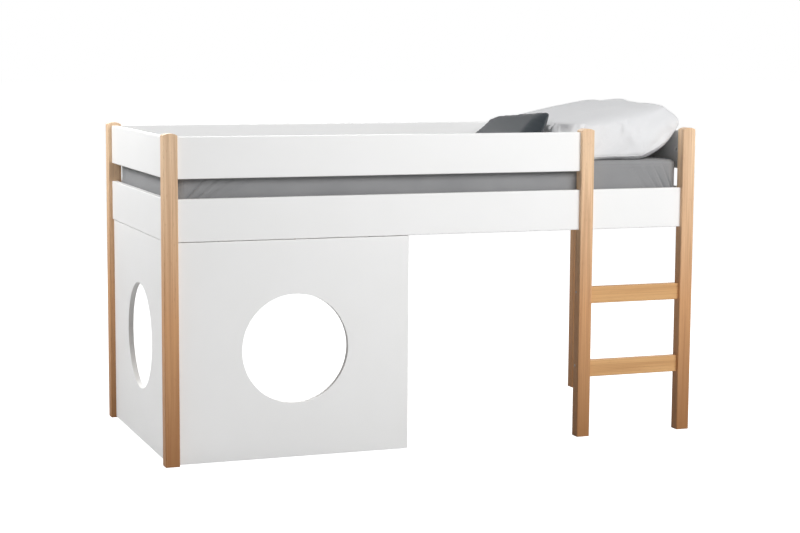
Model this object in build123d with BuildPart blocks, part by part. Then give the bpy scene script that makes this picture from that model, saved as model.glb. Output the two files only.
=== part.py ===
from build123d import *
from dataclasses import dataclass
from math import atan2, cos, isclose, radians, sin, sqrt, tan
import os

# A half-high single bed with a ladder at its head end and two play panels under its foot end.
# Millimetres. X runs along the bed (+X is the head end), -Y is the ladder side, +Z is up.
# The origin is on the floor, in the middle of the bed's footprint.

# Clear sleeping space between the boards, for a mattress of 2000 x 900
sleeping_length = 2000.0
sleeping_width = 900.0

# Posts
post_width = 52.0
post_depth = 46.0
post_height = 1170.0
post_arch_rise = 7.5
post_edge_radius = 4.0
post_top_radius = 1.5
post_foot_chamfer = 1.0

# Boards: rails carry the mattress, guards stand above them with an air gap between
board_thickness = 22.0
board_setback = 15.0
board_edge_radius = 3.0
rail_height = 150.0
guard_height = 146.0
guard_gap = 70.0
guard_top_drop = 13.0

# Ladder: one extra post, notched round the front rail, and two rungs
ladder_opening = 376.0
rung_height = 63.0
rung_thickness = 28.0
rung_setback = 16.0
rung_edge_radius = 3.0
lower_rung_top = 290.0
rung_pitch = 282.0

# Play panels under the foot end, each with one round window
panel_thickness = 20.0
panel_setback = 20.0
panel_length = 860.0
panel_floor_gap = 3.0
panel_seam = 2.0
panel_edge_radius = 2.0
window_diameter = 395.0
window_edge_radius = 1.5

# Slats on two ledges
slat_count = 15
slat_width = 70.0
slat_thickness = 18.0
slat_end_clearance = 6.0
slat_edge_radius = 2.0
slat_end_margin = 20.0
slat_top_drop = 39.0
ledge_width = 30.0
ledge_height = 35.0
ledge_chamfer = 2.0
ledge_end_gap = 4.0

# Knock-down connectors: a steel pin in the post is drawn in by a cam let into the board
pin_diameter = 7.0
pin_grip = 13.0
pin_bore_clearance = 0.2
cam_setback = 36.0
cam_diameter = 12.0
cam_length = 13.0
cam_slot_length = 7.0
cam_slot_width = 1.4
cam_slot_depth = 2.0
pin_chamfer = 0.5
rail_pin_spacing = 90.0
panel_pin_margin = 150.0
dowel_diameter = 8.0
dowel_length = 36.0
dowel_chamfer = 0.8
guard_dowel_spacing = 90.0
rung_fixing_spacing = 25.0
fit_clearance = 0.1

# Ladder bolts with barrel nuts
bolt_diameter = 6.0
bolt_head_diameter = 10.0
bolt_head_height = 4.5
bolt_head_recess = 0.5
bolt_head_radius = 0.8
bolt_socket_width = 4.0
bolt_socket_depth = 2.5
barrel_nut_diameter = 10.0
barrel_nut_length = 18.0
barrel_nut_setback = 26.0
bolt_overrun = 2.0

# Countersunk wood screws
screw_diameter = 4.5
screw_head_diameter = 8.5
screw_head_angle = 82.0
screw_cross_length = 5.0
screw_cross_width = 1.0
screw_cross_depth = 1.4
ledge_screw_count = 7
ledge_screw_length = 46.0
ledge_screw_margin = 90.0
slat_screw_length = 30.0
ladder_screw_length = 33.0
ladder_screw_spacing_x = 26.0
ladder_screw_spacing_z = 90.0

# Mattress in its fitted sheet
mattress_end_clearance = 10.0
mattress_side_clearance = 12.0
mattress_thickness = 140.0
mattress_corner_radius = 65.0
mattress_edge_radius = 18.0
sheet_thickness = 1.2
sheet_tuck = 120.0
soft_gap = 0.3

# Pillow: lies across the head end, its back edge drawn up over the head guard
pillow_near_inset = 19.0
pillow_far_inset = 77.0
pillow_toe_inset = 482.0
pillow_toe_height = 128.0
pillow_toe_bulge = 50.0
pillow_toe_offset = 5.0
pillow_flat_inset = 157.0
pillow_back_bulge = 21.0
pillow_guard_gap = 0.5
pillow_lap_x = 12.0
pillow_lap_z = 18.0
pillow_edge_width = 12.0
pillow_edge_height = 30.0
pillow_edge_bulge = 5.0
pillow_crest_inset = 52.0
pillow_crest_rise = 106.0
pillow_crest_thickness = 170.0
pillow_top_bulge = 6.0
pillow_shoulder_bulge = 12.0
pillow_draw_in = 10.0

# Cushion: a slim oblong cushion that leans back towards the pillow, its rear end slumped lower
cushion_near_inset = 113.0
cushion_length = 500.0
cushion_width = 247.0
cushion_top_inset = 532.0
cushion_near_rise = 173.0
cushion_far_rise = 126.0
cushion_edge_thickness = 45.0
cushion_edge_bulge = 9.0
cushion_face_hollow = 14.0
cushion_back_bulge = 56.0
cushion_foot_thickness = 26.0
cushion_draw_in = 12.0
cushion_seat_sink = 5.0
cushion_nudges = 5

# How full a stuffed piece is along its length: share of the length, share of the full form
stuffing = ((0.0, 0.25), (0.04, 0.72), (0.14, 0.93), (0.5, 1.0), (0.86, 0.93), (0.96, 0.72), (1.0, 0.25))

# Worked-out outer sizes and levels
board_inset = board_setback + board_thickness
bed_length = sleeping_length + 2 * board_inset
bed_width = sleeping_width + 2 * board_inset
half_length = bed_length / 2
half_width = bed_width / 2
post_inner_x = half_length - post_width
post_inner_y = half_width - post_depth
board_centre_x = half_length - board_setback - board_thickness / 2
board_centre_y = half_width - board_setback - board_thickness / 2
panel_centre_x = half_length - panel_setback - panel_thickness / 2
panel_centre_y = half_width - panel_setback - panel_thickness / 2
guard_top = post_height - guard_top_drop
guard_bottom = guard_top - guard_height
rail_top = guard_bottom - guard_gap
rail_bottom = rail_top - rail_height
rail_centre_z = rail_bottom + rail_height / 2
ladder_post_x = post_inner_x - ladder_opening - post_width / 2
panel_top = rail_bottom - panel_seam
panel_height = panel_top - panel_floor_gap
slat_top = rail_top - slat_top_drop
slat_bottom = slat_top - slat_thickness
slat_length = sleeping_width - 2 * slat_end_clearance
mattress_length = sleeping_length - 2 * mattress_end_clearance
mattress_width = sleeping_width - 2 * mattress_side_clearance
sheet_offset = soft_gap + sheet_thickness
mattress_bottom = slat_top + soft_gap + sheet_offset
mattress_top = mattress_bottom + mattress_thickness
bed_top = mattress_top + sheet_offset
pillow_near_y = -sleeping_width / 2 + pillow_near_inset
pillow_far_y = sleeping_width / 2 - pillow_far_inset
pillow_toe_x = sleeping_length / 2 - pillow_toe_inset
cushion_near_y = -sleeping_width / 2 + cushion_near_inset
cushion_far_y = cushion_near_y + cushion_length
cushion_top_x = sleeping_length / 2 - cushion_top_inset
screw_head_height = (screw_head_diameter - screw_diameter) / 2 / tan(radians(screw_head_angle / 2))

RIGHT = Vector(1, 0, 0)
FRONT = Vector(0, -1, 0)
REAR = Vector(0, 1, 0)
UP = Vector(0, 0, 1)
DOWN = Vector(0, 0, -1)


os.makedirs("parts", exist_ok=True)


def finish(part, node):
    """Label a finished piece and write it under its node's name."""
    part.label = node
    export_step(part, f"parts/{node}.step")


def drill(mouths, outward, radius, depth):
    """Bore blind holes into the open part. Outward points out of each hole's mouth."""
    with Locations([Plane(origin=mouth, z_dir=outward) for mouth in mouths]):
        Hole(radius, depth)


@dataclass
class Joint:
    """One connector or dowel: where a board's end meets the piece that it is fixed to."""

    mouth: Vector
    outward: Vector
    inward: Vector
    gap: float = 0.0

    def seat(self):
        """Point where the hole in the carrying piece opens."""
        return self.mouth + self.outward * self.gap


@dataclass
class Board:
    """A straight board that spans two posts at one height."""

    start: Vector
    end: Vector
    inward: Vector
    thickness: float
    height: float
    pin_heights: tuple
    dowel_heights: tuple

    def ends(self):
        """Each end's centre at the board's foot, with the direction that points out of it."""
        along = (self.end - self.start).normalized()
        return [(self.start, along * -1), (self.end, along)]

    def joints_at(self, heights):
        """Joints at both ends, at heights above the board's lower edge."""
        return [
            Joint(point + UP * height, outward, self.inward)
            for point, outward in self.ends()
            for height in heights
        ]

    def pins(self):
        return self.joints_at(self.pin_heights)

    def dowels(self):
        return self.joints_at(self.dowel_heights)


def spread(centre, distance):
    """Two places, one on each side of a centre."""
    return (centre - distance / 2, centre + distance / 2)


# Boards between the posts
rail_pins = spread(rail_height / 2, rail_pin_spacing)
rail_dowels = (rail_height / 2,)
guard_pins = (guard_height / 2,)
guard_dowels = spread(guard_height / 2, guard_dowel_spacing)
ladder_left_x = ladder_post_x - post_width / 2


def long_board(side, end_x, bottom, height, pins, dowels):
    """A board along the bed. Side is -1 on the ladder side and +1 on the rear side."""
    return Board(
        Vector(-post_inner_x, side * board_centre_y, bottom),
        Vector(end_x, side * board_centre_y, bottom),
        Vector(0, -side, 0),
        board_thickness,
        height,
        pins,
        dowels,
    )


def end_board(side, bottom, height, pins, dowels):
    """A board across the bed. Side is -1 at the foot end and +1 at the head end."""
    return Board(
        Vector(side * board_centre_x, -post_inner_y, bottom),
        Vector(side * board_centre_x, post_inner_y, bottom),
        Vector(-side, 0, 0),
        board_thickness,
        height,
        pins,
        dowels,
    )


boards = {
    "side_rail_front": long_board(-1, post_inner_x, rail_bottom, rail_height, rail_pins, rail_dowels),
    "side_rail_rear": long_board(1, post_inner_x, rail_bottom, rail_height, rail_pins, rail_dowels),
    "end_rail_foot": end_board(-1, rail_bottom, rail_height, rail_pins, rail_dowels),
    "end_rail_head": end_board(1, rail_bottom, rail_height, rail_pins, rail_dowels),
    "guard_board_front": long_board(-1, ladder_left_x, guard_bottom, guard_height, guard_pins, guard_dowels),
    "guard_board_rear": long_board(1, post_inner_x, guard_bottom, guard_height, guard_pins, guard_dowels),
    "guard_board_foot": end_board(-1, guard_bottom, guard_height, guard_pins, guard_dowels),
    "guard_board_head": end_board(1, guard_bottom, guard_height, guard_pins, guard_dowels),
}

# Play panels: the foot panel spans its two posts, the front panel hangs from one post and the rail
panel_pins = spread(panel_height / 2, panel_height - 2 * panel_pin_margin)
foot_panel = Board(
    Vector(-panel_centre_x, -post_inner_y, panel_floor_gap),
    Vector(-panel_centre_x, post_inner_y, panel_floor_gap),
    RIGHT,
    panel_thickness,
    panel_height,
    panel_pins,
    (),
)
front_panel = Board(
    Vector(-post_inner_x, -panel_centre_y, panel_floor_gap),
    Vector(-post_inner_x + panel_length, -panel_centre_y, panel_floor_gap),
    REAR,
    panel_thickness,
    panel_height,
    panel_pins,
    (),
)
front_panel_centre_x = -post_inner_x + panel_length / 2
front_panel_joints = [joint for joint in front_panel.pins() if joint.outward.X < 0]
front_panel_top_joints = [
    Joint(Vector(x, -panel_centre_y, panel_top), UP, REAR, panel_seam)
    for x in spread(front_panel_centre_x, panel_length - 2 * panel_pin_margin)
]
foot_panel_top_dowels = [
    Joint(Vector(-panel_centre_x, y, panel_top), UP, RIGHT, panel_seam)
    for y in spread(0, 2 * (post_inner_y - panel_pin_margin))
]
front_panel_top_dowel = Joint(
    Vector(front_panel_centre_x, -panel_centre_y, panel_top), UP, REAR, panel_seam
)
panel_pin_joints = foot_panel.pins() + front_panel_joints + front_panel_top_joints
panel_dowel_joints = foot_panel_top_dowels + [front_panel_top_dowel]

# Rungs: at each end a bolt above the middle and a dowel below it
rung_centre_y = -half_width + rung_setback + rung_thickness / 2
ladder_right_x = ladder_post_x + post_width / 2
rung_bottoms = {
    "ladder_rung_lower": lower_rung_top - rung_height,
    "ladder_rung_upper": lower_rung_top + rung_pitch - rung_height,
}
rungs = {
    node: Board(
        Vector(ladder_right_x, rung_centre_y, bottom),
        Vector(post_inner_x, rung_centre_y, bottom),
        REAR,
        rung_thickness,
        rung_height,
        (rung_height / 2 + rung_fixing_spacing / 2,),
        (rung_height / 2 - rung_fixing_spacing / 2,),
    )
    for node, bottom in rung_bottoms.items()
}

all_pins = [joint for board in boards.values() for joint in board.pins()] + panel_pin_joints
all_dowels = [joint for board in boards.values() for joint in board.dowels()] + panel_dowel_joints
rung_bolts = [joint for rung in rungs.values() for joint in rung.pins()]
rung_dowels = [joint for rung in rungs.values() for joint in rung.dowels()]

# Radii of the bores that hold the connectors
pin_hole_radius = pin_diameter / 2 + fit_clearance
pin_bore_radius = pin_diameter / 2 + pin_bore_clearance
cam_hole_radius = cam_diameter / 2 + fit_clearance
dowel_hole_radius = dowel_diameter / 2 + fit_clearance
dowel_hole_depth = dowel_length / 2 + fit_clearance
bolt_hole_radius = bolt_diameter / 2 + fit_clearance
bolt_head_hole_radius = bolt_head_diameter / 2 + fit_clearance
barrel_hole_radius = barrel_nut_diameter / 2 + fit_clearance
bolt_grip = post_width - bolt_head_height - bolt_head_recess
bolt_reach = barrel_nut_setback + barrel_nut_diameter / 2 + bolt_overrun
screw_hole_radius = screw_diameter / 2 + fit_clearance
screw_head_hole_radius = screw_head_diameter / 2 + fit_clearance


def on_post(joint, centre):
    """Tell whether a joint's hole opens on the post that stands at this centre."""
    inside = joint.seat() + joint.outward
    return abs(inside.X - centre.X) < post_width / 2 and abs(inside.Y - centre.Y) < post_depth / 2


def post_blank(centre):
    """A post with its arched top, before any boring."""
    with BuildPart() as blank:
        with BuildSketch(Plane(origin=centre, x_dir=(1, 0, 0), z_dir=(0, -1, 0))):
            with BuildLine():
                Polyline(
                    (-post_width / 2, post_height - post_arch_rise),
                    (-post_width / 2, 0),
                    (post_width / 2, 0),
                    (post_width / 2, post_height - post_arch_rise),
                )
                ThreePointArc(
                    (post_width / 2, post_height - post_arch_rise),
                    (0, post_height),
                    (-post_width / 2, post_height - post_arch_rise),
                )
            make_face()
        extrude(amount=post_depth / 2, both=True)
        fillet(blank.edges().filter_by(Axis.Z), post_edge_radius)
        fillet(blank.faces().sort_by(Axis.Z)[-1].edges(), post_top_radius)
        chamfer(blank.faces().sort_by(Axis.Z)[0].edges(), post_foot_chamfer)
    return blank.part


def bored_post(centre):
    """A post with the holes for every pin, dowel and rung bolt that reaches it."""
    with BuildPart() as post:
        add(post_blank(centre))
        for joint in all_pins:
            if on_post(joint, centre):
                drill([joint.seat()], joint.outward * -1, pin_hole_radius, pin_grip)
        for joint in all_dowels + rung_dowels:
            if on_post(joint, centre):
                drill([joint.seat()], joint.outward * -1, dowel_hole_radius, dowel_hole_depth)
        for joint in rung_bolts:
            if on_post(joint, centre):
                outer = joint.seat() + joint.outward * post_width
                drill([outer], joint.outward, bolt_hole_radius, post_width)
                drill([outer], joint.outward, bolt_head_hole_radius, bolt_head_height + bolt_head_recess)
    return post.part


post_centres = {
    "post_front_left": Vector(-half_length + post_width / 2, -half_width + post_depth / 2, 0),
    "post_front_right": Vector(half_length - post_width / 2, -half_width + post_depth / 2, 0),
    "post_rear_left": Vector(-half_length + post_width / 2, half_width - post_depth / 2, 0),
    "post_rear_right": Vector(half_length - post_width / 2, half_width - post_depth / 2, 0),
}
for node, centre in post_centres.items():
    finish(bored_post(centre), node)

# Ladder post: open at the back where the front rail passes through it
ladder_centre = Vector(ladder_post_x, -half_width + post_depth / 2, 0)
rail_front_y = -half_width + board_setback
rail_inner_y = rail_front_y + board_thickness
ladder_screw_spots = [
    Vector(x, rail_inner_y, z)
    for x in spread(ladder_post_x, ladder_screw_spacing_x)
    for z in spread(rail_centre_z, ladder_screw_spacing_z)
]
notch_depth = post_depth - board_setback
with BuildPart() as ladder_post:
    add(bored_post(ladder_centre))
    with BuildSketch(Plane.XZ.offset(-rail_front_y)):
        with Locations((ladder_post_x, rail_centre_z)):
            Rectangle(post_width, rail_height + 2 * fit_clearance)
    extrude(amount=-notch_depth, mode=Mode.SUBTRACT)
    drill(
        [spot + FRONT * board_thickness for spot in ladder_screw_spots],
        REAR,
        screw_hole_radius,
        ladder_screw_length - board_thickness,
    )
finish(ladder_post.part, "ladder_post")


def board_blank(board, edge_radius):
    """A plain board with its long edges rounded."""
    along = (board.end - board.start).normalized()
    length = (board.end - board.start).length
    with BuildPart() as blank:
        with BuildSketch(Plane(origin=board.start, x_dir=board.inward, z_dir=along)):
            with Locations((0, board.height / 2 if cross_up(board) else -board.height / 2)):
                Rectangle(board.thickness, board.height)
        extrude(amount=length)
        long_edges = blank.edges().filter_by(Axis(board.start, along))
        fillet(long_edges, edge_radius)
    return blank.part


def cross_up(board):
    """Tell whether the section's second axis points up for this board."""
    along = (board.end - board.start).normalized()
    return along.cross(board.inward).Z > 0


def cut_pin_bores(joint, thickness):
    """Cut a board's long bore for the pin and the pocket for its cam."""
    drill([joint.mouth], joint.outward, pin_bore_radius, cam_setback)
    pocket = joint.mouth - joint.outward * cam_setback + joint.inward * (thickness / 2)
    drill([pocket], joint.inward, cam_hole_radius, thickness / 2 + cam_length / 2)


def bored_board(board, pins, dowels, edge_radius):
    """A board with the bores for its own pins, cams and dowels."""
    with BuildPart() as bored:
        add(board_blank(board, edge_radius))
        for joint in pins:
            cut_pin_bores(joint, board.thickness)
        for joint in dowels:
            drill([joint.mouth], joint.outward, dowel_hole_radius, dowel_hole_depth)
    return bored.part


def screw_row(count, margin):
    """Evenly spaced places along the bed, the outer two a margin inside the posts."""
    pitch = 2 * (post_inner_x - margin) / (count - 1)
    return [-post_inner_x + margin + pitch * index for index in range(count)]


ledge_centre_z = slat_bottom - ledge_height / 2
ledge_screw_grip = ledge_screw_length - ledge_width
ledge_inner_y = sleeping_width / 2 - ledge_width

# Rails take the ledge screws, and the front rail also the ladder post's screws and the panel's pins
for node, board in boards.items():
    with BuildPart() as bored:
        add(bored_board(board, board.pins(), board.dowels(), board_edge_radius))
        if node.startswith("side_rail"):
            inner = board.start + board.inward * (board_thickness / 2)
            screw_xs = screw_row(ledge_screw_count, ledge_screw_margin)
            spots = [Vector(x, inner.Y, ledge_centre_z) for x in screw_xs]
            drill(spots, board.inward, screw_hole_radius, ledge_screw_grip)
        if node == "side_rail_front":
            with Locations([Plane(origin=spot, z_dir=REAR) for spot in ladder_screw_spots]):
                CounterSinkHole(screw_hole_radius, screw_head_hole_radius, board_thickness)
            for joint in front_panel_top_joints:
                drill([joint.seat()], DOWN, pin_hole_radius, pin_grip)
            drill([front_panel_top_dowel.seat()], DOWN, dowel_hole_radius, dowel_hole_depth - panel_seam)
        if node == "end_rail_foot":
            for joint in foot_panel_top_dowels:
                drill([joint.seat()], DOWN, dowel_hole_radius, dowel_hole_depth - panel_seam)
    finish(bored.part, node)


def windowed_panel(board, pins, dowels):
    """A play panel with its round window in the middle."""
    middle = (board.start + board.end) * 0.5 + UP * (board.height / 2)
    with BuildPart() as panel:
        add(bored_board(board, pins, dowels, panel_edge_radius))
        with BuildSketch(Plane(origin=middle, z_dir=board.inward)):
            Circle(window_diameter / 2)
        extrude(amount=board.thickness, both=True, mode=Mode.SUBTRACT)
        rims = panel.edges().filter_by(GeomType.CIRCLE)
        fillet([rim for rim in rims if isclose(rim.radius, window_diameter / 2)], window_edge_radius)
    return panel.part


finish(windowed_panel(foot_panel, foot_panel.pins(), foot_panel_top_dowels), "play_panel_foot")
finish(
    windowed_panel(front_panel, front_panel_joints + front_panel_top_joints, [front_panel_top_dowel]),
    "play_panel_front",
)


def bored_rung(rung):
    """A rung with its dowel holes, bolt bores and the cross bores for the barrel nuts."""
    with BuildPart() as bored:
        add(board_blank(rung, rung_edge_radius))
        for joint in rung.dowels():
            drill([joint.mouth], joint.outward, dowel_hole_radius, dowel_hole_depth)
        for joint in rung.pins():
            drill([joint.mouth], joint.outward, bolt_hole_radius, bolt_reach + fit_clearance)
            cross = joint.mouth - joint.outward * barrel_nut_setback + REAR * (rung_thickness / 2)
            drill([cross], REAR, barrel_hole_radius, rung_thickness / 2 + barrel_nut_length / 2)
    return bored.part


for node, rung in rungs.items():
    finish(bored_rung(rung), node)

# Ledges for the slats, screwed to the side rails from inside
slat_pitch = (2 * (sleeping_length / 2 - slat_end_margin) - slat_width) / (slat_count - 1)
slat_xs = [(index - (slat_count - 1) / 2) * slat_pitch for index in range(slat_count)]
ledge_length = 2 * (post_inner_x - ledge_end_gap)
ledge_centre_y = sleeping_width / 2 - ledge_width / 2


def slat_ledge(side):
    """A batten along one side rail. Side is -1 at the front and +1 at the rear."""
    with BuildPart() as ledge:
        with BuildSketch(Plane.XY.offset(slat_bottom - ledge_height)):
            with Locations((0, side * ledge_centre_y)):
                Rectangle(ledge_length, ledge_width)
        extrude(amount=ledge_height)
        inner_face = ledge.faces().sort_by(Axis.Y)[0 if side > 0 else -1]
        chamfer(inner_face.edges().filter_by(Axis.X), ledge_chamfer)
        screw_spots = [
            Plane(origin=(x, side * ledge_inner_y, ledge_centre_z), z_dir=(0, -side, 0))
            for x in screw_row(ledge_screw_count, ledge_screw_margin)
        ]
        with Locations(screw_spots):
            CounterSinkHole(screw_hole_radius, screw_head_hole_radius, ledge_width)
        drill(
            [Vector(x, side * ledge_centre_y, slat_bottom) for x in slat_xs],
            UP,
            screw_hole_radius,
            slat_screw_length - slat_thickness,
        )
    return ledge.part


finish(slat_ledge(-1), "slat_ledge_front")
finish(slat_ledge(1), "slat_ledge_rear")

# Slats, each held by one countersunk screw at either end
for index, x in enumerate(slat_xs):
    with BuildPart() as slat:
        with BuildSketch(Plane.XY.offset(slat_bottom)):
            with Locations((x, 0)):
                Rectangle(slat_width, slat_length)
        extrude(amount=slat_thickness)
        fillet(slat.edges().filter_by(Axis.Y), slat_edge_radius)
        with Locations((x, -ledge_centre_y, slat_top), (x, ledge_centre_y, slat_top)):
            CounterSinkHole(screw_hole_radius, screw_head_hole_radius, slat_thickness)
    finish(slat.part, f"slat_{index + 1:02d}")


def connector_pin():
    """A steel pin along +Z: its threaded half stands in the post, its head reaches the cam."""
    with BuildPart() as pin:
        with BuildSketch(Plane.XY.offset(-cam_setback)):
            Circle(pin_diameter / 2)
        extrude(amount=cam_setback + pin_grip)
        chamfer(pin.edges(), pin_chamfer)
    return pin.part


def connector_cam():
    """A cam centred on the pin's line. Its driven face looks along +Z and its pocket along +X."""
    with BuildPart() as cam:
        with BuildSketch(Plane.XY.offset(-cam_length / 2)):
            Circle(cam_diameter / 2)
        extrude(amount=cam_length)
        with BuildSketch(Plane.XY.offset(cam_length / 2)):
            Rectangle(cam_slot_length, cam_slot_width)
            Rectangle(cam_slot_width, cam_slot_length)
        extrude(amount=-cam_slot_depth, mode=Mode.SUBTRACT)
        drill([RIGHT * (cam_diameter / 2)], RIGHT, pin_bore_radius, cam_diameter / 2 + fit_clearance)
    return cam.part


def wooden_dowel():
    """A dowel along Z, centred on the seam that it bridges."""
    with BuildPart() as dowel:
        with BuildSketch(Plane.XY.offset(-dowel_length / 2)):
            Circle(dowel_diameter / 2)
        extrude(amount=dowel_length)
        chamfer(dowel.edges(), dowel_chamfer)
    return dowel.part


def ladder_bolt():
    """A socket-head bolt whose shank runs down -Z from the underside of its head."""
    with BuildPart() as bolt:
        with BuildSketch():
            Circle(bolt_head_diameter / 2)
        extrude(amount=bolt_head_height)
        fillet(bolt.edges().sort_by(Axis.Z)[-1], bolt_head_radius)
        with BuildSketch(Plane.XY.offset(bolt_head_height)):
            RegularPolygon(bolt_socket_width / 2, 6, major_radius=False)
        extrude(amount=-bolt_socket_depth, mode=Mode.SUBTRACT)
        with BuildSketch():
            Circle(bolt_diameter / 2)
        extrude(amount=-(bolt_grip + bolt_reach))
    return bolt.part


def barrel_nut():
    """A barrel nut along Z, with the cross bore that the bolt runs through."""
    with BuildPart() as nut:
        with BuildSketch(Plane.XY.offset(-barrel_nut_length / 2)):
            Circle(barrel_nut_diameter / 2)
        extrude(amount=barrel_nut_length)
        with BuildSketch(Plane.YZ):
            Circle(bolt_hole_radius)
        extrude(amount=barrel_nut_diameter, both=True, mode=Mode.SUBTRACT)
    return nut.part


def wood_screw(length):
    """A countersunk screw whose head is flush at the origin and whose point is down -Z."""
    with BuildPart() as screw:
        with BuildSketch(Plane.XZ):
            with BuildLine():
                Polyline(
                    (0, 0),
                    (screw_head_diameter / 2, 0),
                    (screw_diameter / 2, -screw_head_height),
                    (screw_diameter / 2, -length + screw_diameter),
                    (0, -length),
                    (0, 0),
                )
            make_face()
        revolve(axis=Axis.Z)
        with BuildSketch(Plane.XY):
            Rectangle(screw_cross_length, screw_cross_width)
            Rectangle(screw_cross_width, screw_cross_length)
        extrude(amount=-screw_cross_depth, mode=Mode.SUBTRACT)
    return screw.part


def place(part, origin, z_dir, x_dir=None):
    """A copy of a piece, moved so that its own origin and axes match the given ones."""
    return Plane(origin=origin, x_dir=x_dir, z_dir=z_dir).location * part


def write_group(node, pieces):
    """Write identical fasteners as one node of separate solids."""
    finish(Compound(children=pieces), node)


# Connectors and dowels
pin_blank = connector_pin()
cam_blank = connector_cam()
dowel_blank = wooden_dowel()
write_group("connector_pins", [place(pin_blank, joint.seat(), joint.outward) for joint in all_pins])
write_group(
    "connector_cams",
    [
        place(cam_blank, joint.mouth - joint.outward * cam_setback, joint.inward, joint.outward)
        for joint in all_pins
    ],
)
write_group(
    "wooden_dowels",
    [place(dowel_blank, joint.mouth, joint.outward) for joint in all_dowels + rung_dowels],
)

# Ladder bolts through the posts, with their barrel nuts in the rungs
bolt_blank = ladder_bolt()
nut_blank = barrel_nut()
write_group(
    "ladder_bolts",
    [place(bolt_blank, joint.mouth + joint.outward * bolt_grip, joint.outward) for joint in rung_bolts],
)
write_group(
    "barrel_nuts",
    [
        place(nut_blank, joint.mouth - joint.outward * barrel_nut_setback, joint.inward, joint.outward)
        for joint in rung_bolts
    ],
)

# Wood screws
ledge_screw = wood_screw(ledge_screw_length)
slat_screw = wood_screw(slat_screw_length)
ladder_screw = wood_screw(ladder_screw_length)
write_group(
    "ledge_screws",
    [
        place(ledge_screw, Vector(x, side * ledge_inner_y, ledge_centre_z), Vector(0, -side, 0))
        for side in (-1, 1)
        for x in screw_row(ledge_screw_count, ledge_screw_margin)
    ],
)
write_group(
    "slat_screws",
    [place(slat_screw, Vector(x, side * ledge_centre_y, slat_top), UP) for side in (-1, 1) for x in slat_xs],
)
write_group("ladder_post_screws", [place(ladder_screw, spot, REAR) for spot in ladder_screw_spots])


def mattress_form(margin):
    """The mattress's rounded block, grown on every side by a margin."""
    with BuildPart() as form:
        with BuildSketch(Plane.XY.offset(mattress_bottom - margin)):
            RectangleRounded(
                mattress_length + 2 * margin,
                mattress_width + 2 * margin,
                mattress_corner_radius + margin,
            )
        extrude(amount=mattress_thickness + 2 * margin)
        rims = form.faces().sort_by(Axis.Z)[-1].edges() + form.faces().sort_by(Axis.Z)[0].edges()
        fillet(rims, mattress_edge_radius + margin)
    return form.part


# Mattress, and the fitted sheet that wraps its top and sides and tucks under its edges
finish(mattress_form(0), "mattress")
with BuildPart() as fitted_sheet:
    add(mattress_form(sheet_offset))
    add(mattress_form(soft_gap), mode=Mode.SUBTRACT)
    with BuildSketch(Plane.XY.offset(mattress_bottom - sheet_offset)):
        Rectangle(mattress_length - 2 * sheet_tuck, mattress_width - 2 * sheet_tuck)
    extrude(amount=sheet_offset, mode=Mode.SUBTRACT)
finish(fitted_sheet.part, "fitted_sheet")


def bulged(start, end, bulge):
    """Middle of an arc that stands out from a chord, to the right of its direction."""
    chord = Vector(*end) - Vector(*start)
    side = Vector(chord.Y, -chord.X).normalized()
    return (Vector(*start) + Vector(*end)) * 0.5 + side * bulge


def soft_section(y, corners, bulges):
    """A closed outline in the upright plane at y, of one line or arc for each corner."""
    with BuildSketch(Plane.XZ.offset(-y)) as section:
        with BuildLine():
            for start, end, bulge in zip(corners, corners[1:] + corners[:1], bulges):
                if bulge == 0:
                    Line(start, end)
                else:
                    ThreePointArc(start, bulged(start, end, bulge), end)
        make_face()
    return section.sketch


def between(low, high, share):
    """A value that lies a share of the way from low to high."""
    return low + (high - low) * share


def cushion_section(share, fullness):
    """The cushion's outline across its length: hollow face, full back and blunt top edge."""
    rise = between(cushion_near_rise, cushion_far_rise, share)
    lean = atan2(rise, sqrt(cushion_width**2 - rise**2))
    up_slope = Vector(cos(lean), sin(lean))
    across = Vector(sin(lean), -cos(lean))
    inset = up_slope * (cushion_draw_in * (1 - fullness))
    top = Vector(cushion_top_x, rise) - inset
    foot = Vector(cushion_top_x, rise) - up_slope * cushion_width + inset
    back_top = top + across * (cushion_edge_thickness * fullness)
    back_foot = foot + across * (cushion_foot_thickness * fullness)
    corners = [(point.X, point.Y) for point in (foot, back_foot, back_top, top)]
    bulges = [
        cushion_edge_bulge * fullness,
        cushion_back_bulge * fullness,
        cushion_edge_bulge * fullness,
        -cushion_face_hollow,
    ]
    return soft_section(between(cushion_near_y, cushion_far_y, share), corners, bulges)


# Point where the pillow's back bears on the head guard's rounded top edge
guard_shoulder = board_edge_radius - (board_edge_radius + pillow_guard_gap) * cos(radians(45))
bearing_x = sleeping_length / 2 + guard_shoulder
bearing_z = guard_top - guard_shoulder
soft_rest_z = bed_top + soft_gap


def pillow_section(share, fullness):
    """The pillow's outline across one line along its length, fuller towards the middle."""
    toe_x = pillow_toe_x + pillow_draw_in * (1 - (2 * share - 1) ** 2)
    lap_x = sleeping_length / 2 + pillow_lap_x
    lap_z = guard_top + pillow_lap_z
    crest_z = guard_top + pillow_crest_rise - pillow_crest_thickness * (1 - fullness)
    corners = [
        (toe_x, soft_rest_z),
        (sleeping_length / 2 - pillow_flat_inset, soft_rest_z),
        (bearing_x, bearing_z),
        (lap_x, lap_z),
        (lap_x + pillow_edge_width * fullness, lap_z + pillow_edge_height * fullness),
        (sleeping_length / 2 - pillow_crest_inset, crest_z),
        (toe_x + pillow_toe_offset * fullness, soft_rest_z + pillow_toe_height * fullness),
    ]
    bulges = [
        0,
        pillow_back_bulge,
        0,
        pillow_edge_bulge * fullness,
        pillow_shoulder_bulge * fullness,
        pillow_top_bulge * fullness,
        pillow_toe_bulge * fullness,
    ]
    return soft_section(between(pillow_near_y, pillow_far_y, share), corners, bulges)


with BuildPart() as pillow:
    loft([pillow_section(share, fullness) for share, fullness in stuffing])
finish(pillow.part, "pillow")

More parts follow.
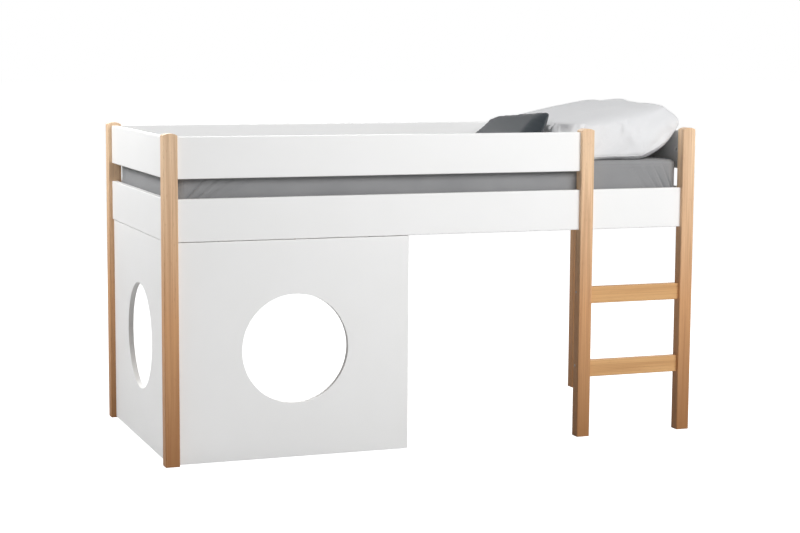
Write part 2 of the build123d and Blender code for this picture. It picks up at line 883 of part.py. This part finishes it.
# The cushion is lofted on its own, settled on the mattress where it lies flat, and pushed along
# the bed until its back bears on the pillow
with BuildPart() as loose_cushion:
    loft([cushion_section(share, fullness) for share, fullness in stuffing])
settle = soft_rest_z - cushion_seat_sink - loose_cushion.part.bounding_box().min.Z
with BuildPart() as cushion:
    add(Pos(0, 0, settle) * loose_cushion.part)
    split(bisect_by=Plane.XY.offset(soft_rest_z))
leaning_cushion = cushion.part
for _ in range(cushion_nudges):
    gap = leaning_cushion.distance_to(pillow.part)
    leaning_cushion = Pos(gap - soft_gap, 0, 0) * leaning_cushion
finish(leaning_cushion, "cushion")
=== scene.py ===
from math import cos, exp, pi, radians, sin, tau

import bmesh
import bpy
from mathutils import Matrix, Vector, noise
from mathutils.bvhtree import BVHTree


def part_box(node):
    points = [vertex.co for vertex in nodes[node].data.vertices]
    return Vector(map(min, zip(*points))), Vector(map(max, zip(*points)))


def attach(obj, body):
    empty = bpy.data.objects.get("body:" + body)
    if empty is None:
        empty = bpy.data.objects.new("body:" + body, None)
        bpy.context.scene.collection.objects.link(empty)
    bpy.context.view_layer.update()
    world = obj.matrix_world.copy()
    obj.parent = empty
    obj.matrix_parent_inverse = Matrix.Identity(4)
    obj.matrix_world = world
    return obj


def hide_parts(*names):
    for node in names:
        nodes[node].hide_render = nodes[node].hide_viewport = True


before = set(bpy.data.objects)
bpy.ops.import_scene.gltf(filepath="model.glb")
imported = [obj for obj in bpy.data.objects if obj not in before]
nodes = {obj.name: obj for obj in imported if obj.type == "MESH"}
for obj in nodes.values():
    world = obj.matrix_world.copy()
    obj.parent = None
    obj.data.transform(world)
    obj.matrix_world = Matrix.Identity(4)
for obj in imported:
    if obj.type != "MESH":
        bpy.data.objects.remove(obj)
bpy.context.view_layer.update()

# Camera: the photograph's viewing angle
CAMERA_PLACE = (-2.4973, -6.7058, 1.4841)
CAMERA_YAW = 20.55
CAMERA_PITCH = 6.905
CAMERA_ROLL = 0.365
CAMERA_LENS = 83.1
CAMERA_SENSOR = 36.0

# Soft studio lights: where each stands, what it faces, its size and its power in watts
FRONT_BOX = {"place": (1.6, -4.3, 3.2), "aim": (0.3, -0.4, 0.9), "size": (3.4, 2.2), "power": 206.0}
LEFT_BOX = {"place": (-2.9, 0.4, 2.5), "aim": (-1.0, 0.0, 1.0), "size": (1.8, 1.3), "power": 71.6}
REAR_BOX = {"place": (0.4, 4.6, 2.8), "aim": (0.2, 0.4, 0.8), "size": (3.0, 1.8), "power": 70.0}
RIGHT_BOX = {"place": (4.6, 1.0, 2.4), "aim": (1.0, 0.2, 0.8), "size": (1.8, 1.4), "power": 40.0}
FILL_STRENGTH = 0.12

# Floor
FLOOR_SIZE = 120.0
FLOOR_GLOW = 0.94

# Soft pieces
HAIR = 0.0003
SHEET_THICKNESS = 0.0008
SHEET_TUCK = 0.120
SHEET_BAND = 0.016
SHEET_PROUD = 0.0012
SHEET_CREASES = (
    (0.012, 0.008, 0.0065),
    (0.038, 0.008, 0.0065),
    (0.066, 0.007, 0.0055),
    (0.110, 0.009, 0.0030),
)
MATTRESS_CORNER = 0.042
MATTRESS_EDGE = 0.018
MATTRESS_ROOM = 0.009
CLOTH_MESH = 0.009
CLOTH_FRAMES = 20
SWELL_ROOM = 0.004
SWELL_CAP = 0.024
SWELL_PRESSURE = 4.0
REGROW = 0.012
SLACK = 0.004
WELT_RADIUS = 0.0022
CLOTH_QUALITY = 5
CLOTH_MASS = 0.25
CLOTH_STRETCH = 12
CLOTH_SHEAR = 5
CLOTH_BEND = 0.5
ALONG_AXIS = 0.99

# Meshing of the mattress and its sheet
CORNER_STEPS = 26
LONG_STEPS = 150
SHORT_STEPS = 76
CROWDING = 0.72
UNDER_STEPS = 8
LOWER_EDGE_STEPS = 6
UPPER_EDGE_STEPS = 7
TOP_CROWDING = 1.6
MATTRESS_STEPS = (10, 12)
SHEET_STEPS = (26, 22)


def tone(red, green, blue):
    """A colour given as the screen shows it, from 0 to 255, as the renderer's own values."""
    shares = [value / 255 for value in (red, green, blue)]
    return tuple(s / 12.92 if s <= 0.04045 else ((s + 0.055) / 1.055) ** 2.4 for s in shares) + (1.0,)


class Finish:
    """A material being made, with short calls for the nodes that it needs."""

    def __init__(self, name, **sockets):
        self.material = bpy.data.materials.new(name)
        self.material.use_nodes = True
        self.tree = self.material.node_tree
        self.shader = self.tree.nodes["Principled BSDF"]
        for socket, value in sockets.items():
            self.shader.inputs[socket.replace("_", " ")].default_value = value
        self.place = self.node("ShaderNodeTexCoord").outputs["Object"]

    def node(self, kind, inputs=None, **settings):
        made = self.tree.nodes.new(kind)
        for name, value in settings.items():
            setattr(made, name, value)
        for key, value in (inputs or {}).items():
            self.feed(made.inputs[key], value)
        return made

    def feed(self, socket, value):
        if isinstance(value, bpy.types.NodeSocket):
            self.tree.links.new(value, socket)
        else:
            socket.default_value = value

    def noise(self, scale, stretch=(1, 1, 1), detail=2.0, distortion=0.0, shift=(0, 0, 0)):
        """Smooth noise from 0 to 1, with so many features per metre and squeezed along each axis."""
        inputs = {"Vector": self.place, "Scale": stretch, "Location": shift}
        squeezed = self.node("ShaderNodeMapping", inputs).outputs["Vector"]
        inputs = {"Vector": squeezed, "Scale": scale, "Detail": detail, "Distortion": distortion}
        return self.node("ShaderNodeTexNoise", inputs).outputs["Fac"]

    def spread(self, value, low, high, to_low=0.0, to_high=1.0):
        """Map a range of values to another, held at its ends."""
        inputs = {"Value": value, "From Min": low, "From Max": high, "To Min": to_low, "To Max": to_high}
        return self.node("ShaderNodeMapRange", inputs).outputs["Result"]

    def math(self, operation, first, second=0.0):
        made = self.node("ShaderNodeMath", operation=operation)
        self.feed(made.inputs[0], first)
        self.feed(made.inputs[1], second)
        return made.outputs[0]

    def mix(self, amount, low, high):
        """A colour between two others."""
        made = self.node("ShaderNodeMix", data_type="RGBA")
        for index, value in ((0, amount), (6, low), (7, high)):
            self.feed(made.inputs[index], value)
        return made.outputs[2]

    def axis(self, name):
        return self.node("ShaderNodeSeparateXYZ", {"Vector": self.place}).outputs[name]

    def bump(self, height, distance):
        """Raise the surface by a height from 0 to 1 times a distance."""
        inputs = {"Height": height, "Distance": distance, "Strength": 1.0}
        self.feed(self.shader.inputs["Normal"], self.node("ShaderNodeBump", inputs).outputs["Normal"])

    def colour(self, value):
        self.feed(self.shader.inputs["Base Color"], value)

    def roughness(self, value):
        self.feed(self.shader.inputs["Roughness"], value)


def wood(name, along, pale, middle, deep, streak):
    """Straight-grained beech with a clear satin coat. On a post, painted shade darkens the colour from its
    lit top to its foot, where less light falls.
    """
    finish = Finish(name, Specular_IOR_Level=0.4)
    lengthwise = [0.03 if axis == along else 1.0 for axis in "XYZ"]
    drawn = [0.008 if axis == along else 1.0 for axis in "XYZ"]
    short = [0.05 if axis == along else 1.0 for axis in "XYZ"]
    bands = finish.noise(38, lengthwise, detail=3.0, distortion=0.8)
    fibres = finish.noise(330, drawn, detail=2.0)
    flecks = finish.noise(620, short, detail=1.0)
    body = middle
    # Painted light and shade on a post: the lit colour (pale) at the top runs down to the shaded colour
    # (deep) at the foot, darker towards the floor.
    if along == "Z":
        height = finish.axis("Z")
        lower = finish.mix(finish.spread(height, 0.03, 0.5), deep, middle)
        body = finish.mix(finish.spread(height, 0.5, 1.1), lower, pale)
    banded = finish.mix(finish.spread(bands, 0.42, 0.72, 0.0, 0.4), body, streak)
    lined = finish.mix(finish.spread(fibres, 0.5, 0.78, 0.0, 0.45), banded, streak)
    finish.colour(finish.mix(finish.spread(flecks, 0.66, 0.74, 0.0, 0.5), lined, streak))
    finish.roughness(finish.spread(bands, 0.2, 0.8, 0.38, 0.5))
    finish.bump(finish.math("ADD", fibres, finish.math("MULTIPLY", flecks, 0.5)), 0.00012)
    return finish.material


def paint(name, colour, shade):
    """Satin paint put on by roller: a fine orange-peel texture and very slight clouding."""
    finish = Finish(name, Specular_IOR_Level=0.45)
    finish.colour(finish.mix(finish.noise(5.0, detail=3.0), shade, colour))
    finish.roughness(finish.spread(finish.noise(30.0), 0.3, 0.7, 0.36, 0.44))
    finish.bump(finish.noise(520.0, detail=2.0), 0.00006)
    return finish.material


def plating(name, colour, roughness, grain):
    """Plated or cast metal, mottled at a fine scale."""
    finish = Finish(name, Metallic=1.0)
    mottle = finish.noise(grain, detail=3.0)
    finish.colour(finish.mix(mottle, tuple(value * 0.78 for value in colour[:3]) + (1.0,), colour))
    finish.roughness(finish.spread(mottle, 0.3, 0.7, roughness - 0.08, roughness + 0.08))
    finish.bump(mottle, 0.00004)
    return finish.material


def cloth(name, colour, shade, threads, relief, sheen):
    """Woven or knitted fabric: crossing threads per metre, slight clouding and a soft sheen."""
    finish = Finish(name, Roughness=0.86, Sheen_Weight=sheen, Sheen_Roughness=0.4, Specular_IOR_Level=0.2)
    ribs = [
        finish.math("SINE", finish.math("MULTIPLY", finish.axis(axis), threads * tau))
        for axis in "XYZ"
    ]
    weave = finish.math("ADD", finish.math("ADD", ribs[0], ribs[1]), ribs[2])
    fuzz = finish.noise(threads * 0.9, detail=2.0)
    clouds = finish.noise(9.0, detail=4.0)
    threaded = finish.math("MULTIPLY", finish.spread(weave, -2, 2), 0.35)
    depth = finish.math("ADD", threaded, finish.math("MULTIPLY", clouds, 0.65))
    finish.colour(finish.mix(depth, shade, colour))
    finish.bump(finish.math("ADD", weave, fuzz), relief)
    return finish.material


def dress(material, *names):
    """Give CAD nodes a material in place of the plain one."""
    for name in names:
        for slot in nodes[name].material_slots:
            slot.material = material


# Hard materials
# Post colours in order: a lit colour painted at the top, the beech's own middle colour, a shaded colour
# painted at the foot, and the grain streaks.
POST_BEECH_AND_PAINTED_SHADE = (tone(244, 212, 176), tone(214, 163, 116), tone(168, 120, 76), tone(150, 96, 58))
RUNG_BEECH = (tone(226, 186, 140), tone(220, 173, 119), tone(206, 160, 112), tone(166, 112, 66))
PINE = (tone(232, 204, 160), tone(226, 194, 146), tone(218, 184, 134), tone(192, 150, 100))
DOWEL = (tone(214, 178, 134), tone(208, 170, 124), tone(196, 156, 110), tone(160, 118, 78))
post_wood_painted_shade = wood("post_beech_painted_shade", "Z", *POST_BEECH_AND_PAINTED_SHADE)
rung_wood = wood("rung_beech", "X", *RUNG_BEECH)
slat_pine = wood("slat_pine", "Y", *PINE)
ledge_pine = wood("ledge_pine", "X", *PINE)
dowel_beech = wood("dowel_beech", "X", *DOWEL)
board_paint = paint("board_paint", tone(247, 247, 247), tone(243, 243, 242))
zinc_plate = plating("zinc_plate", (0.62, 0.62, 0.60, 1.0), 0.34, 900.0)
zinc_cast = plating("zinc_cast", (0.36, 0.36, 0.36, 1.0), 0.46, 1400.0)

for node in nodes:
    if node.startswith("post_") or node == "ladder_post":
        dress(post_wood_painted_shade, node)
    elif node.startswith("ladder_rung"):
        dress(rung_wood, node)
    elif node.startswith("slat_ledge"):
        dress(ledge_pine, node)
    elif node.startswith("slat_") and node != "slat_screws":
        dress(slat_pine, node)
    elif node.startswith(("side_rail", "end_rail", "guard_board", "play_panel")):
        dress(board_paint, node)
dress(dowel_beech, "wooden_dowels")
dress(zinc_cast, "connector_cams")
dress(zinc_plate, "connector_pins", "ladder_bolts", "barrel_nuts")
dress(zinc_plate, "ledge_screws", "slat_screws", "ladder_post_screws")


# Soft pieces
sheet_jersey = cloth("sheet_jersey", tone(157, 157, 158), tone(136, 137, 139), 900.0, 0.00006, 0.25)
pillow_cotton = cloth("pillow_cotton", tone(236, 236, 237), tone(222, 223, 225), 700.0, 0.00008, 0.15)
cushion_felt = cloth("cushion_felt", tone(66, 72, 76), tone(50, 55, 60), 420.0, 0.00012, 0.35)
mattress_knit = cloth("mattress_knit", tone(238, 237, 233), tone(222, 221, 217), 500.0, 0.0001, 0.1)


def crowded(share):
    """Shift a share of a straight run towards its nearer end, so that points crowd there."""
    return share - CROWDING * sin(tau * share) / tau


def ring(half_x, half_y, radius):
    """Points round a rounded rectangle, anticlockwise from its +X side."""
    points = []
    for quarter, (sign_x, sign_y) in enumerate(((1, 1), (-1, 1), (-1, -1), (1, -1))):
        centre = Vector((sign_x * (half_x - radius), sign_y * (half_y - radius)))
        for step in range(CORNER_STEPS):
            angle = pi / 2 * (quarter + step / CORNER_STEPS)
            points.append(centre + radius * Vector((cos(angle), sin(angle))))
        turn = pi / 2 * (quarter + 1)
        start = centre + radius * Vector((cos(turn), sin(turn)))
        if quarter % 2 == 0:
            steps, run = LONG_STEPS, Vector((-sign_x * 2 * (half_x - radius), 0))
        else:
            steps, run = SHORT_STEPS, Vector((0, -sign_y * 2 * (half_y - radius)))
        points += [start + run * crowded(step / steps) for step in range(steps)]
    return points


def wrapped_form(name, low, high, corner, profile):
    """A mesh of rings, each set in from the box's sides and at its own height."""
    centre = (low + high) / 2
    half_x, half_y = (high.x - low.x) / 2, (high.y - low.y) / 2
    form = bmesh.new()
    rows = []
    for inset, height in profile:
        radius = max(0.0, min(corner, half_y - inset))
        outline = ring(half_x - inset, half_y - inset, radius)
        rows.append([form.verts.new((centre.x + p.x, centre.y + p.y, height)) for p in outline])
    for lower, upper in zip(rows, rows[1:]):
        count = len(lower)
        for index in range(count):
            after = (index + 1) % count
            form.faces.new((lower[index], lower[after], upper[after], upper[index]))
    bmesh.ops.remove_doubles(form, verts=form.verts, dist=1e-5)
    bmesh.ops.dissolve_degenerate(form, edges=form.edges, dist=1e-6)
    return shown(name, form)


def shown(name, form):
    """Put a bmesh into the scene as a smooth-shaded object."""
    mesh = bpy.data.meshes.new(name)
    form.to_mesh(mesh)
    form.free()
    mesh.shade_smooth()
    piece = bpy.data.objects.new(name, mesh)
    bpy.context.collection.objects.link(piece)
    return piece


def wrap_profile(bottom, top, edge, under, across, side_steps, top_steps):
    """Insets and heights from underneath, round the lower edge, up the side and over the top."""
    profile = [(under + (edge - under) * step / UNDER_STEPS, bottom) for step in range(UNDER_STEPS)]
    for step in range(LOWER_EDGE_STEPS):
        angle = pi / 2 * step / LOWER_EDGE_STEPS
        profile.append((edge - edge * sin(angle), bottom + edge - edge * cos(angle)))
    low_side, high_side = bottom + edge, top - edge
    profile += [(0.0, low_side + (high_side - low_side) * step / side_steps) for step in range(side_steps)]
    for step in range(UPPER_EDGE_STEPS):
        angle = pi / 2 * step / UPPER_EDGE_STEPS
        profile.append((edge - edge * cos(angle), high_side + edge * sin(angle)))
    for step in range(top_steps + 1):
        profile.append((edge + (across - edge) * (step / top_steps) ** TOP_CROWDING, top))
    return profile


def make_mattress():
    """The mattress core in its knitted cover, a hair inside its sheet."""
    low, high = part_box("mattress")
    room = Vector((MATTRESS_ROOM, MATTRESS_ROOM, 0))
    low, high = low + room, high - room
    across = (high.y - low.y) / 2
    profile = wrap_profile(low.z, high.z, MATTRESS_EDGE, across, across, *MATTRESS_STEPS)
    piece = wrapped_form("mattress_core", low, high, MATTRESS_CORNER, profile)
    piece.data.materials.append(mattress_knit)
    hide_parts("mattress")
    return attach(piece, "bedding")


def make_sheet():
    """The fitted sheet: one stretched skin over the mattress, gathered under its edges."""
    low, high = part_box("fitted_sheet")
    margin = Vector((SHEET_THICKNESS, SHEET_THICKNESS, SHEET_THICKNESS)) / 2
    low, high = low + margin, high - margin
    across = (high.y - low.y) / 2
    profile = wrap_profile(low.z, high.z, MATTRESS_EDGE, SHEET_TUCK, across, *SHEET_STEPS)
    piece = wrapped_form("sheet_skin", low, high, MATTRESS_CORNER, profile)
    press(piece, lambda place, normal: max(-SHEET_PROUD, crease_depth(place, low, high)) * normal.xy.length)
    piece.data.materials.append(sheet_jersey)
    skin = piece.modifiers.new("skin", "SOLIDIFY")
    skin.thickness = SHEET_THICKNESS
    skin.offset = 0.0
    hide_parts("fitted_sheet")
    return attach(piece, "bedding")


def evaluated_copy(piece):
    """The piece's mesh with its modifiers applied."""
    graph = bpy.context.evaluated_depsgraph_get()
    return bpy.data.meshes.new_from_object(piece.evaluated_get(graph))


def surface_of(piece):
    """A search tree of a mesh in its own coordinates."""
    mesh = piece.data
    return BVHTree.FromPolygons([v.co for v in mesh.vertices], [p.vertices for p in mesh.polygons])


def even_form(name, node):
    """An even mesh of quads on a CAD soft solid, cast inwards towards its middle."""
    low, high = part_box(node)
    half = (high - low) / 2
    faces = nodes[node].data.polygons
    middle = sum((face.center * face.area for face in faces), Vector()) / sum(face.area for face in faces)
    form = bmesh.new()
    bmesh.ops.create_cube(form, size=2.0)
    for axis in range(3):
        cuts = int(2 * half[axis] / CLOTH_MESH)
        spans = [(e, (e.verts[0].co - e.verts[1].co).normalized()) for e in form.edges]
        along = [e for e, span in spans if abs(span[axis]) > ALONG_AXIS]
        bmesh.ops.subdivide_edges(form, edges=along, cuts=cuts, use_grid_fill=True)
    shell = surface_of(nodes[node])
    for vertex in form.verts:
        outward = Vector([half[axis] * vertex.co[axis] for axis in range(3)]).normalized()
        vertex.co = shell.ray_cast(middle + outward, -outward)[0]
    every_axis = {"use_axis_x": True, "use_axis_y": True, "use_axis_z": True}
    bmesh.ops.smooth_vert(form, verts=form.verts, factor=0.5, **every_axis)
    bmesh.ops.recalc_face_normals(form, faces=form.faces)
    return shown(name, form)


def inflate(piece):
    """Swell a closed mesh like stuffed fabric, no point moving further than the cap."""
    press(piece, lambda place, normal: SWELL_ROOM)
    start = [vertex.co.copy() for vertex in piece.data.vertices]
    skin = piece.modifiers.new("skin", "CLOTH")
    skin.settings.quality = CLOTH_QUALITY
    skin.settings.mass = CLOTH_MASS
    skin.settings.tension_stiffness = CLOTH_STRETCH
    skin.settings.compression_stiffness = CLOTH_STRETCH
    skin.settings.shear_stiffness = CLOTH_SHEAR
    skin.settings.bending_stiffness = CLOTH_BEND
    skin.settings.use_pressure = True
    skin.settings.uniform_pressure_force = SWELL_PRESSURE
    skin.settings.effector_weights.gravity = 0.0
    skin.point_cache.frame_start = 1
    skin.point_cache.frame_end = CLOTH_FRAMES
    for moment in range(1, CLOTH_FRAMES + 1):
        bpy.context.scene.frame_set(moment)
    swollen = evaluated_copy(piece)
    piece.modifiers.clear()
    for vertex, rest, moved in zip(piece.data.vertices, start, swollen.vertices):
        step = moved.co - rest
        vertex.co = rest + step * min(1.0, SWELL_CAP / max(step.length, HAIR))
    bpy.data.meshes.remove(swollen)
    bpy.context.scene.frame_set(1)


def hold_inside(piece, node, neighbours, slack):
    """Keep a soft piece in its CAD solid, bar a little slack where no neighbour is near."""
    shell = surface_of(nodes[node])
    others = [surface_of(nodes[name]) for name in neighbours]
    for vertex in piece.data.vertices:
        spot, normal, _, _ = shell.find_nearest(vertex.co)
        outside = (vertex.co - spot).dot(normal)
        room = min(other.find_nearest(spot)[3] for other in others)
        allowed = max(0.0, min(slack, room / 2 - HAIR))
        if outside > allowed:
            vertex.co += normal * (allowed - outside)


def press(piece, depth_at):
    """Press a soft piece in along its normals by a depth worked out at each point."""
    normals = [vertex.normal.copy() for vertex in piece.data.vertices]
    for vertex, normal in zip(piece.data.vertices, normals):
        vertex.co -= normal * depth_at(vertex.co, normal)


def hump(distance, width):
    """A smooth bell, 1 in the middle and nearly gone at its width."""
    return exp(-3.0 * (distance / width) ** 2)


def stuffed(name, node, material, neighbours, depth_at):
    """A stuffed piece grown from its CAD solid, with its folds pressed in."""
    piece = even_form(name, node)
    inflate(piece)
    rounding = piece.modifiers.new("rounding", "SUBSURF")
    rounding.levels = rounding.render_levels = 1
    piece.data = evaluated_copy(piece)
    piece.modifiers.clear()
    piece.data.shade_smooth()
    press(piece, lambda place, normal: depth_at(place, normal) - REGROW)
    hold_inside(piece, node, neighbours, SLACK)
    piece.data.materials.clear()
    piece.data.materials.append(material)
    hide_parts(node)
    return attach(piece, node)


def welt(name, node, body, guide, material):
    """A sewn cord round a stuffed piece, laid on its surface along a closed guide line."""
    shell = surface_of(body)
    line = bpy.data.curves.new(name, "CURVE")
    line.dimensions = "3D"
    line.bevel_depth = WELT_RADIUS
    line.bevel_resolution = 2
    spline = line.splines.new("POLY")
    spline.points.add(len(guide) - 1)
    for point, spot in zip(spline.points, guide):
        laid, normal, _, _ = shell.find_nearest(spot)
        point.co = (*(laid - normal * WELT_RADIUS * 0.4), 1.0)
    spline.use_cyclic_u = True
    cord = bpy.data.objects.new(name, line)
    bpy.context.collection.objects.link(cord)
    cord.data.materials.append(material)
    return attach(cord, node)


def run(start, end, steps):
    """Points along a straight line, without its end."""
    return [Vector(start).lerp(Vector(end), step / steps) for step in range(steps)]


# The pillow lies over the head guard: soft folds run up across the end that faces the ladder
PILLOW_FOLDS = (
    (0.02, 0.030, 0.0050),
    (0.085, 0.022, 0.0040),
    (0.150, 0.034, 0.0055),
    (0.225, 0.026, 0.0040),
)
PILLOW_FOLD_SLOPE = radians(38)
PILLOW_SAG = 0.042
PILLOW_FAR_DROP = 0.052
PILLOW_PINCHES = ((0.012, 0.010), (0.034, 0.008), (0.060, 0.009))
PILLOW_PINCH_DEPTH = 0.004
PILLOW_FOLD_START = 0.30
PILLOW_FOLD_REACH = 0.30
PILLOW_WARP = 0.02
SEAM_INSET = 0.008
SEAM_SWING = 0.010
pillow_low, pillow_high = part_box("pillow")
cushion_low, cushion_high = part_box("cushion")
guard_low, guard_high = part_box("guard_board_head")


def pillow_depth(place, normal):
    """Folds, pinches near the cushion and the slack of a soft filling."""
    local = place - pillow_low
    warp = PILLOW_WARP * noise.noise(place * 7.0)
    across = local.z * cos(PILLOW_FOLD_SLOPE) - local.x * sin(PILLOW_FOLD_SLOPE) + PILLOW_FOLD_START + warp
    near_end = hump(max(0.0, local.y - 0.02), PILLOW_FOLD_REACH)
    depth = 0.003 * (0.5 + 0.5 * noise.noise(place * 9.0))
    for where, width, deep in PILLOW_FOLDS:
        depth += deep * hump(across - where, width) * near_end
    toe = hump(local.x, 0.10)
    depth += PILLOW_SAG * hump(local.x - 0.04, 0.15) * max(0.0, normal.z)
    far = max(0.0, place.y / pillow_high.y)
    depth += PILLOW_FAR_DROP * far**1.6 * max(0.0, normal.z)
    for where, width in PILLOW_PINCHES:
        depth += PILLOW_PINCH_DEPTH * toe * hump(local.z - 0.06 - where + 0.3 * local.x, width)
    return depth * (0.35 + 0.65 * max(0.0, normal.z * 0.4 - normal.y * 0.6 + 0.4))


def pillow_seam():
    """The seam follows the underside: along the sheet, up behind and over the head guard."""
    near, far = pillow_low.y + SEAM_INSET, pillow_high.y - SEAM_INSET
    toe, heel = pillow_low.x + 0.006, guard_low.x - 0.157
    base, lap = pillow_low.z + SEAM_INSET, guard_high.z + 0.030
    bend_x, bend_z = guard_low.x - 0.035, guard_high.z - 0.030
    back = pillow_high.x
    points = run((toe, near, base), (heel, near, base), 24)
    points += run((heel, near, base), (bend_x, near, bend_z), 14)
    points += run((bend_x, near, bend_z), (back, near + SEAM_SWING, lap), 8)
    points += run((back, near + SEAM_SWING, lap), (back, far - SEAM_SWING, lap), 50)
    points += run((back, far - SEAM_SWING, lap), (bend_x, far, bend_z), 8)
    points += run((bend_x, far, bend_z), (heel, far, base), 14)
    points += run((heel, far, base), (toe, far, base), 24)
    return points + run((toe, far, base), (toe, near, base), 50)


def cushion_depth(place, normal):
    """Shallow hollows and short puckers that run in from the cushion's edges."""
    local = place - cushion_low
    depth = 0.003 * (0.5 + 0.5 * noise.noise(place * 11.0))
    edge = hump(cushion_high.z - place.z, 0.05) + hump(min(local.y, cushion_high.y - place.y), 0.05)
    return depth + 0.0012 * edge * (1 + sin(local.y * 210 + 3 * noise.noise(place * 20.0)))


def crease_depth(place, low, high):
    """Creases that fan out from the sheet's lower corners, and a groove under its top edge."""
    side = Vector((1 if place.x > 0 else -1, 1 if place.y > 0 else -1))
    along_x = high.x - abs(place.x)
    along_y = high.y - abs(place.y)
    away = max(along_x, along_y)
    up = place.z - low.z
    lean = 0.7 + 0.25 * side.x * side.y
    depth = 0.0016 * hump(high.z - place.z - SHEET_BAND, 0.005)
    on_side = hump(min(along_x, along_y), 0.03) * hump(max(0.0, up - 0.05), 0.10)
    for index, (start, width, deep) in enumerate(SHEET_CREASES):
        offset = away - start - up * lean * (1 + 0.25 * index)
        depth += deep * on_side * (hump(offset, width) - 0.55 * hump(offset - width, width))
    return depth + 0.0006 * noise.noise(Vector((place.x * 6, place.y * 6, place.z * 14)))


def make_floor():
    """A plain pale floor that keeps the object's shadow."""
    form = bmesh.new()
    bmesh.ops.create_grid(form, x_segments=1, y_segments=1, size=FLOOR_SIZE / 2)
    piece = shown("studio_floor", form)
    finish = Finish("floor_finish", Base_Color=tone(196, 196, 196), Roughness=0.9, Specular_IOR_Level=0.0)
    seen = finish.node("ShaderNodeLightPath").outputs["Is Camera Ray"]
    glow = finish.node("ShaderNodeEmission", {"Color": (1, 1, 1, 1), "Strength": FLOOR_GLOW})
    total = finish.node("ShaderNodeAddShader", {0: finish.shader.outputs[0], 1: glow.outputs[0]})
    choice = finish.node("ShaderNodeMixShader", {0: seen, 1: finish.shader.outputs[0], 2: total.outputs[0]})
    finish.feed(finish.tree.nodes["Material Output"].inputs["Surface"], choice.outputs[0])
    piece.data.materials.append(finish.material)


def make_backdrop():
    """A white surround where the camera or a reflection sees it, and a low fill light elsewhere."""
    world = bpy.data.worlds.new("studio")
    bpy.context.scene.world = world
    world.use_nodes = True
    tree = world.node_tree
    tree.nodes.clear()
    path = tree.nodes.new("ShaderNodeLightPath")
    either = tree.nodes.new("ShaderNodeMath")
    either.operation = "ADD"
    tree.links.new(path.outputs["Is Camera Ray"], either.inputs[0])
    tree.links.new(path.outputs["Is Glossy Ray"], either.inputs[1])
    seen = tree.nodes.new("ShaderNodeMath")
    seen.operation = "ADD"
    seen.use_clamp = True
    tree.links.new(either.outputs[0], seen.inputs[0])
    tree.links.new(path.outputs["Is Transmission Ray"], seen.inputs[1])
    fill = tree.nodes.new("ShaderNodeBackground")
    fill.inputs["Color"].default_value = (1, 1, 1, 1)
    fill.inputs["Strength"].default_value = FILL_STRENGTH
    white = tree.nodes.new("ShaderNodeBackground")
    white.inputs["Color"].default_value = (1, 1, 1, 1)
    white.inputs["Strength"].default_value = 1.0
    choice = tree.nodes.new("ShaderNodeMixShader")
    tree.links.new(seen.outputs[0], choice.inputs[0])
    tree.links.new(fill.outputs[0], choice.inputs[1])
    tree.links.new(white.outputs[0], choice.inputs[2])
    output = tree.nodes.new("ShaderNodeOutputWorld")
    tree.links.new(choice.outputs[0], output.inputs["Surface"])


def softbox(name, place, aim, size, power):
    """A rectangular soft light."""
    light = bpy.data.lights.new(name, "AREA")
    light.shape = "RECTANGLE"
    light.size, light.size_y = size
    light.energy = power
    lamp = bpy.data.objects.new(name, light)
    lamp.location = place
    lamp.rotation_euler = (Vector(aim) - Vector(place)).to_track_quat("-Z", "Y").to_euler()
    bpy.context.collection.objects.link(lamp)


def make_camera():
    """The camera, turned by its yaw, pitch and roll."""
    lens = bpy.data.cameras.new("photo_camera")
    lens.lens = CAMERA_LENS
    lens.sensor_width = CAMERA_SENSOR
    lens.clip_end = FLOOR_SIZE
    camera = bpy.data.objects.new("photo_camera", lens)
    turn = Matrix.Rotation(radians(-CAMERA_YAW), 4, "Z")
    turn @= Matrix.Rotation(radians(90 - CAMERA_PITCH), 4, "X")
    turn @= Matrix.Rotation(radians(CAMERA_ROLL), 4, "Z")
    camera.matrix_world = Matrix.Translation(CAMERA_PLACE) @ turn
    bpy.context.collection.objects.link(camera)
    bpy.context.scene.camera = camera


make_mattress()
make_sheet()
PILLOW_NEIGHBOURS = ["fitted_sheet", "guard_board_head", "cushion", "ladder_post", "post_front_right"]
pillow_body = stuffed(
    "pillow_stuffed", "pillow", pillow_cotton, PILLOW_NEIGHBOURS, pillow_depth
)
welt("pillow_welt", "pillow", pillow_body, pillow_seam(), pillow_cotton)
CUSHION_NEIGHBOURS = ["fitted_sheet", "pillow"]
stuffed(
    "cushion_stuffed", "cushion", cushion_felt, CUSHION_NEIGHBOURS, cushion_depth
)

make_floor()
make_backdrop()
softbox("front_box", **FRONT_BOX)
softbox("left_box", **LEFT_BOX)
softbox("rear_box", **REAR_BOX)
softbox("right_box", **RIGHT_BOX)
make_camera()
bpy.context.scene.view_settings.view_transform = "Standard"
